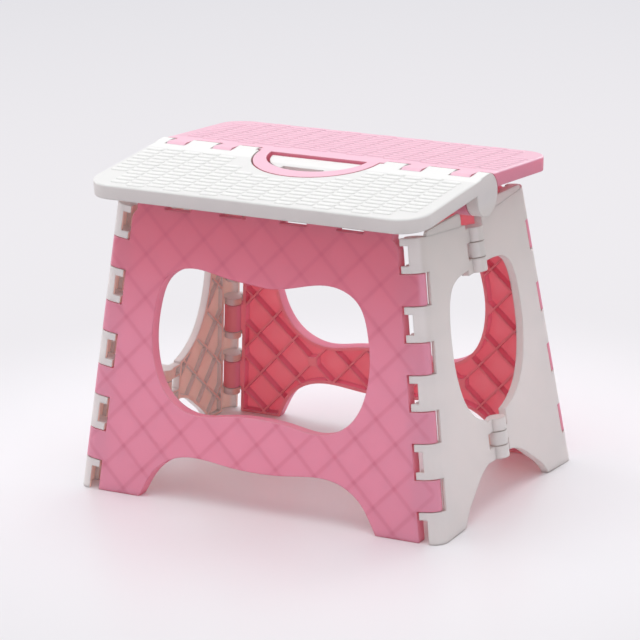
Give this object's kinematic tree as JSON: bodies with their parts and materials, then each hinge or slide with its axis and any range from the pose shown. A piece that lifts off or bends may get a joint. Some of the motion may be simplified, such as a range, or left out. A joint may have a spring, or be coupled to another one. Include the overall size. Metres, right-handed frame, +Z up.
{
  "type": "folding stool",
  "caption": "Folding step stool with a hinged two-part seat and carrying handle on leaning panels, joined by end walls that fold inward to pack flat.",
  "frame": {"origin": "centre of the stance, on the floor", "axes": "+X along the seat hinge, +Y from the white seat half to the pink one, +Z up"},
  "size_m": [0.2868, 0.2036, 0.2293],
  "materials": {
    "white": "satin moulded, fine grain",
    "pink": "satin moulded, slightly translucent",
    "pin": "smooth moulded"
  },
  "bodies": {
    "front": {"front_panel": "pink", "top_pin_front": "pin", "dowel_right_front_1": "pin", "dowel_right_front_2": "pin", "dowel_right_front_3": "pin", "dowel_right_front_4": "pin", "dowel_left_front_1": "pin", "dowel_left_front_2": "pin", "dowel_left_front_3": "pin", "dowel_left_front_4": "pin"},
    "seat_front": {"seat_front": "white", "centre_pin_right": "pin", "centre_pin_left": "pin"},
    "seat_rear": {"seat_rear": "pink"},
    "rear": {"rear_panel": "pink", "top_pin_rear": "pin", "dowel_right_rear_1": "pin", "dowel_right_rear_2": "pin", "dowel_right_rear_3": "pin", "dowel_right_rear_4": "pin", "dowel_left_rear_1": "pin", "dowel_left_rear_2": "pin", "dowel_left_rear_3": "pin", "dowel_left_rear_4": "pin"},
    "right_front_leaf": {"right_front_leaf": "white"},
    "right_rear_leaf": {"right_rear_leaf": "white", "middle_pin_right_lower": "pin", "middle_pin_right_upper": "pin"},
    "left_front_leaf": {"left_front_leaf": "white", "middle_pin_left_lower": "pin", "middle_pin_left_upper": "pin"},
    "left_rear_leaf": {"left_rear_leaf": "white"}
  },
  "joints": [
    {"name": "centre_hinge", "type": "hinge", "parent": "seat_front", "child": "seat_rear", "pos_m": [0, 0, 0.21496], "axis": [-1, 0, 0], "range_deg": [0, 128]},
    {"name": "front_top_hinge", "type": "hinge", "parent": "front", "child": "seat_front", "pos_m": [0, -0.07383, 0.21466], "axis": [1, 0, 0], "range_deg": [0, 60.48]},
    {"name": "rear_top_hinge", "type": "hinge", "parent": "seat_rear", "child": "rear", "pos_m": [0, 0.07383, 0.21466], "axis": [1, 0, 0], "range_deg": [0, 60.48]},
    {"name": "right_front_corner_hinge", "type": "hinge", "parent": "front", "child": "right_front_leaf", "pos_m": [0.134, -0.09236, -0.00104], "axis": [-0.1191, 0.109, 0.9869], "range_deg": [0, 73.59]},
    {"name": "left_front_corner_hinge", "type": "hinge", "parent": "front", "child": "left_front_leaf", "pos_m": [-0.134, -0.09236, -0.00104], "axis": [-0.1191, -0.109, -0.9869], "range_deg": [0, 73.59]},
    {"name": "right_rear_corner_hinge", "type": "hinge", "parent": "rear", "child": "right_rear_leaf", "pos_m": [0.134, 0.09236, -0.00104], "axis": [0.1191, 0.109, -0.9869], "range_deg": [0, 73.59]},
    {"name": "left_rear_corner_hinge", "type": "hinge", "parent": "rear", "child": "left_rear_leaf", "pos_m": [-0.134, 0.09236, -0.00104], "axis": [0.1191, -0.109, 0.9869], "range_deg": [0, 73.59]}
  ],
  "couplings": [
    {"joint": "front_top_hinge", "follows": "centre_hinge", "ratio": 0.4725},
    {"joint": "rear_top_hinge", "follows": "centre_hinge", "ratio": 0.4725},
    {"joint": "right_front_corner_hinge", "follows": "centre_hinge", "ratio": 0.57485},
    {"joint": "left_front_corner_hinge", "follows": "centre_hinge", "ratio": 0.57485},
    {"joint": "right_rear_corner_hinge", "follows": "centre_hinge", "ratio": 0.57485},
    {"joint": "left_rear_corner_hinge", "follows": "centre_hinge", "ratio": 0.57485}
  ]
}
